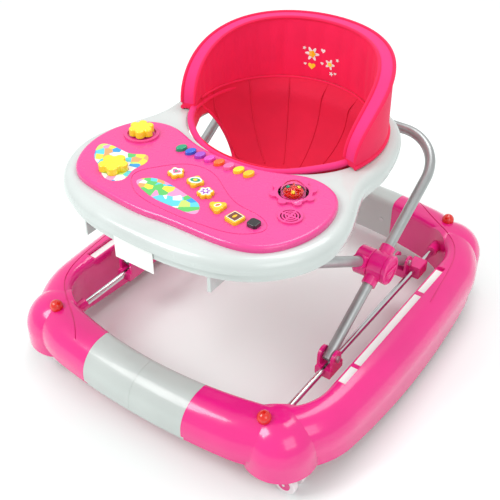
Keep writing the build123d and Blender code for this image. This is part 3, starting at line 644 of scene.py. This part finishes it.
# ---- print on the backrest -------------------------------------------------------------------------------
def flower_shape(petals, radius, depth=0.28, points=40):
    """Outline of a flower; depth is how far it dips between petals."""
    shape = []
    for i in range(points):
        reach = radius * (1 - depth + depth * math.cos(petals * 2 * math.pi * i / points))
        turn = 2 * math.pi * i / points
        shape.append((reach * math.cos(turn), reach * math.sin(turn)))
    return shape


def heart_shape(radius, points=36):
    """The usual parametric heart, 16 units to each side."""
    shape = []
    for i in range(points):
        t = 2 * math.pi * i / points
        x = 16 * math.sin(t) ** 3
        y = 13 * math.cos(t) - 5 * math.cos(2 * t) - 2 * math.cos(3 * t) - math.cos(4 * t)
        shape.append((radius * x / 16, radius * y / 16))
    return shape


def fan_faces(count):
    """Triangles from vertex 0 to an outline of count vertices that follow it."""
    return [(0, 1 + i, 1 + (i + 1) % count) for i in range(count)]


def add_backrest_print(pad):
    """Generic flowers and hearts printed on the inner panel, laid on its final surface."""
    graph = bpy.context.evaluated_depsgraph_get()
    tree = BVHTree.FromObject(pad, graph)
    shapes = [  # across, up (mm from the print's middle), outline, paint, layer
        (-17, 4, flower_shape(6, 12 * MM), "label", 0), (-17, 4, flower_shape(5, 6 * MM, 0.1), "amber", 1),
        (-17, -16, heart_shape(6 * MM), "yellow", 0), (14, -7, flower_shape(5, 9 * MM), "label", 0),
        (14, -7, flower_shape(5, 4 * MM, 0.1), "yellow", 1), (1, 12, heart_shape(4 * MM), "label", 0),
        (0, -9, heart_shape(2.8 * MM), "label", 0), (24, -20, heart_shape(2.4 * MM), "label", 0),
        (-28, -14, heart_shape(2.4 * MM), "label", 0), (17, -22, flower_shape(5, 4 * MM), "label", 0),
        (27, 3, flower_shape(5, 3 * MM), "label", 0), (-30, 12, flower_shape(5, 3 * MM), "label", 0),
    ]
    middle_angle, middle_z = math.radians(-6), PAD_BOTTOM + 50 * MM
    for number, (across, up, outline, paint, layer) in enumerate(shapes):
        verts, lift = [], (0.35 + 0.25 * layer) * MM
        centre = (sum(p[0] for p in outline) / len(outline), sum(p[1] for p in outline) / len(outline))
        for x, y in [centre] + outline:
            angle = middle_angle + (across * MM + x) / PAD_IN
            z = middle_z + up * MM + y
            outwards = Vector((math.sin(angle), math.cos(angle), 0))
            hit = tree.ray_cast(Vector((0, SEAT_Y, z)), outwards)[0]
            surface = hit if hit is not None else seat_point(angle, PAD_IN, z)
            verts.append(surface - outwards * lift)
        faces = fan_faces(len(outline))
        new_piece(f"backrest_print_{number + 1}", verts, faces, paint, "tray")


# ---- small details on the toys and wheels ----------------------------------------------------------------
def round_shape(half_x, half_y, points=32):
    return [(half_x * math.cos(2 * math.pi * i / points), half_y * math.sin(2 * math.pi * i / points))
            for i in range(points)]


def square_shape(half):
    return [(-half, -half), (half, -half), (half, half), (-half, half)]


def add_flat_print(name, outline, centre, turn, z, paint, body):
    """A printed shape lying flat, turned about its centre."""
    c, s = math.cos(turn), math.sin(turn)
    verts = [(centre[0], centre[1], z)]
    verts += [(centre[0] + c * x - s * y, centre[1] + s * x + c * y, z) for x, y in outline]
    new_piece(name, verts, fan_faces(len(outline)), paint, body)


def add_button_prints():
    """Generic shapes printed on the tune buttons' tops."""
    tops = [
        [(flower_shape(5, 9.6 * MM, 0.12), "label"), (heart_shape(6 * MM), "key_pink"),
         (flower_shape(5, 3 * MM), "key_green")],
        [(round_shape(9 * MM, 7.5 * MM), "label"), (round_shape(7 * MM, 4.5 * MM), "key_green"),
         (round_shape(3 * MM, 2.5 * MM), "yellow")],
        [(flower_shape(6, 9.6 * MM, 0.12), "label"), (flower_shape(6, 7 * MM), "key_purple"),
         (round_shape(2.5 * MM, 2.5 * MM), "label")],
        [(round_shape(6.4 * MM, 6.4 * MM), "yellow"), (round_shape(5 * MM, 3.4 * MM), "label"),
         (round_shape(3.4 * MM, 1.8 * MM), "key_orange")],
        [(square_shape(8 * MM), "label"), (square_shape(7 * MM), "brown"),
         (round_shape(4 * MM, 2 * MM), "amber")],
    ]
    for number, layers in enumerate(tops, 1):
        body = f"tune_button_{number}"
        low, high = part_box(body)
        centre = ((low[0] + high[0]) / 2, (low[1] + high[1]) / 2)
        turn = math.radians(BUTTON_STEP * (number - 1))
        for layer, (outline, paint) in enumerate(layers):
            z = high[2] + (0.15 + 0.2 * layer) * MM
            add_flat_print(f"{body}_print_{layer + 1}", outline, centre, turn, z, paint, body)


def add_ball(name, centre, radius, paint, body):
    bpy.ops.mesh.primitive_uv_sphere_add(segments=24, ring_count=12, radius=radius, location=centre)
    ball = bpy.context.object
    ball.name = name
    ball.data.materials.append(PAINTS[paint])
    for polygon in ball.data.polygons:
        polygon.use_smooth = True
    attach(ball, body)


def add_spinner_beads():
    """Bright beads fixed on the spinner between its vanes."""
    low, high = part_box("spinner_core")
    centre = Vector(((low[0] + high[0]) / 2, (low[1] + high[1]) / 2, high[2] - 3.5 * MM))
    for i, paint in enumerate(("yellow", "key_green", "yellow")):
        angle = math.radians(60 + 120 * i)
        place = centre + BEAD_ORBIT * Vector((math.cos(angle), math.sin(angle), 0))
        add_ball(f"spinner_bead_{i + 1}", place, BEAD_R, paint, "spinner_core")


def add_wheel_discs():
    """Pink hub disc on the outer face of every wheel."""
    for end in ("front", "rear"):
        for side in ("left", "right"):
            body = f"caster_wheels_{end}_{side}"
            low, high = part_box(body)
            middle = Vector([(a + b) / 2 for a, b in zip(low, high)])
            reach = (high[1] - low[1]) / 2
            for sign in (-1, 1):
                line = [middle + Vector((0, sign * (reach - back * MM), 0)) for back in (2.2, 0.9)]
                verts, faces = tube_mesh(line, WHEEL_DISC_R, sides=40)
                name = f"wheel_disc_{end}_{side}_{'outer' if sign > 0 else 'inner'}"
                new_piece(name, verts, faces, "pink", body, smooth=False)


add_camera()
add_studio()
paint_cad_nodes()
backrest = add_backrest()
add_seat()
add_backrest_print(backrest)
add_button_prints()
add_spinner_beads()
add_wheel_discs()
